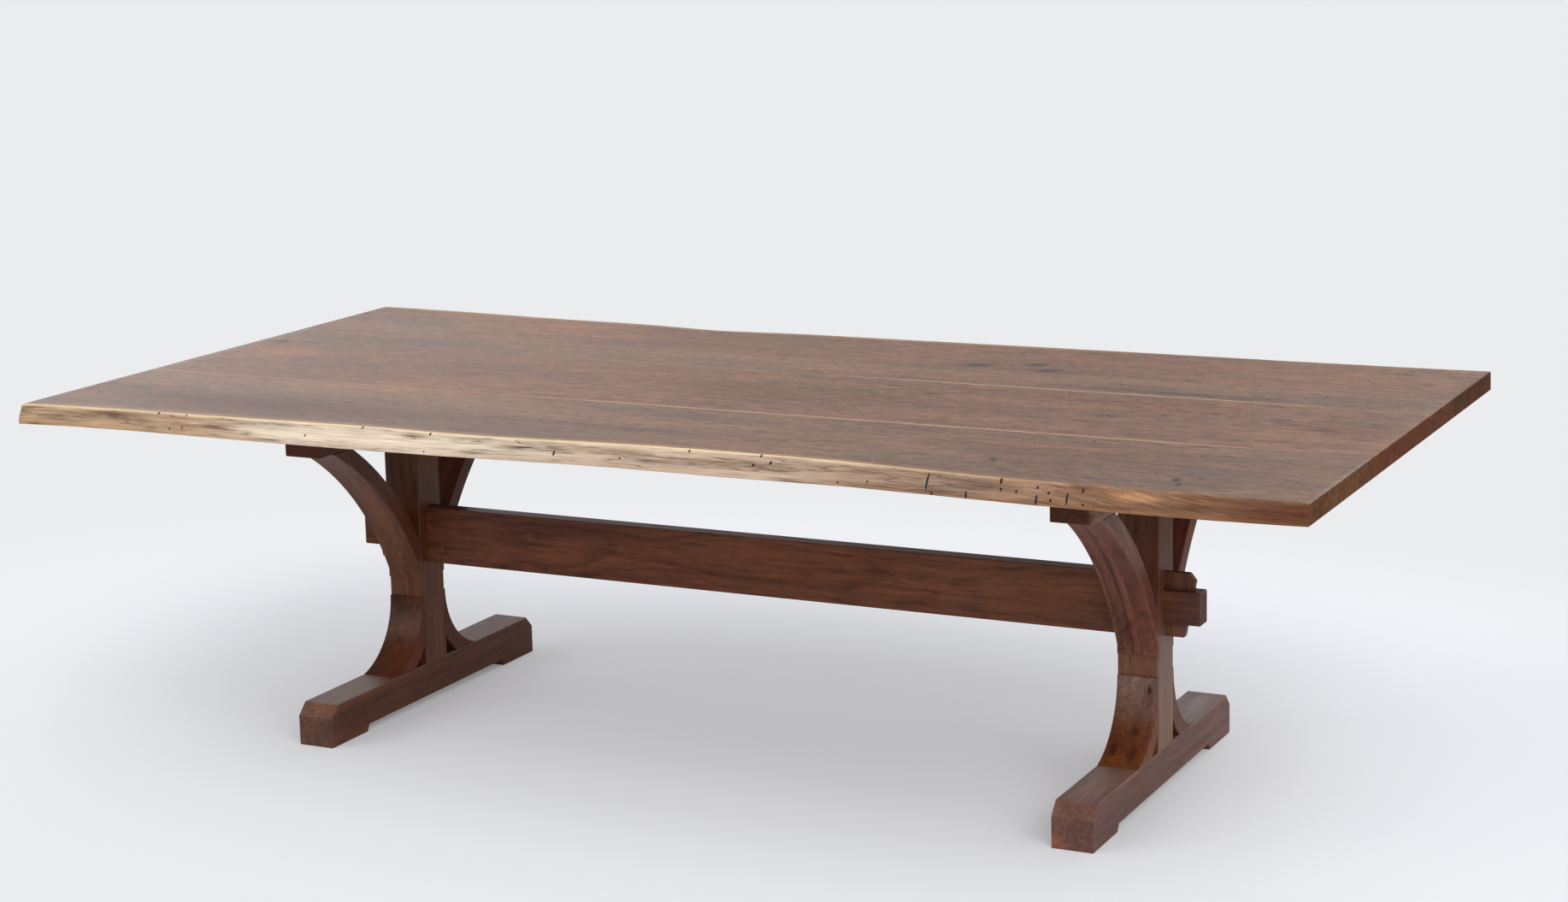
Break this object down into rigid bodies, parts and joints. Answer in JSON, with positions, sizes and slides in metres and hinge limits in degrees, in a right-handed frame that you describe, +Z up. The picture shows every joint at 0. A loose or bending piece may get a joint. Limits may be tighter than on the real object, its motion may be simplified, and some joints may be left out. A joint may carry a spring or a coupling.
{
  "type": "trestle dining table",
  "caption": "Walnut slab dining table with natural edges on braced sled-foot trestles, tied by a wedged through-tenon stretcher.",
  "frame": {"origin": "on the floor under the middle of the stretcher, halfway between the two trestles", "axes": "+X along the table to the right, +Y from the front edge to the back edge, +Z up"},
  "size_m": [2.766, 1.3894, 0.762],
  "materials": {
    "slab_walnut": "walnut, sanded and oiled to a satin sheen, pale sapwood along the natural edges",
    "frame_walnut": "walnut, planed and oiled",
    "wedge_walnut": "dark walnut, planed and oiled",
    "tenon_wood": "beech, sawn, hidden in the joints",
    "bolt_steel": "zinc-plated steel",
    "insert_brass": "turned brass"
  },
  "bodies": {
    "table": {"front_board": "slab_walnut", "front_middle_board": "slab_walnut", "back_middle_board": "slab_walnut", "back_board": "slab_walnut", "stretcher": "frame_walnut", "left_foot": "frame_walnut", "left_post": "frame_walnut", "left_bearer": "frame_walnut", "left_front_upper_brace": "frame_walnut", "left_back_upper_brace": "frame_walnut", "left_front_lower_brace": "frame_walnut", "left_back_lower_brace": "frame_walnut", "left_brace_tenons": "tenon_wood", "left_top_bolts": "bolt_steel", "left_top_washers": "bolt_steel", "left_top_inserts": "insert_brass", "right_foot": "frame_walnut", "right_post": "frame_walnut", "right_bearer": "frame_walnut", "right_front_upper_brace": "frame_walnut", "right_back_upper_brace": "frame_walnut", "right_front_lower_brace": "frame_walnut", "right_back_lower_brace": "frame_walnut", "right_brace_tenons": "tenon_wood", "right_top_bolts": "bolt_steel", "right_top_washers": "bolt_steel", "right_top_inserts": "insert_brass"},
    "left_wedge": {"left_wedge": "wedge_walnut"},
    "right_wedge": {"right_wedge": "wedge_walnut"}
  },
  "joints": [
    {"name": "left_wedge_lift", "type": "slide", "parent": "table", "child": "left_wedge", "axis": [0, 0, 1], "range_m": [0, 0.1]},
    {"name": "right_wedge_lift", "type": "slide", "parent": "table", "child": "right_wedge", "axis": [0, 0, 1], "range_m": [0, 0.1]}
  ]
}
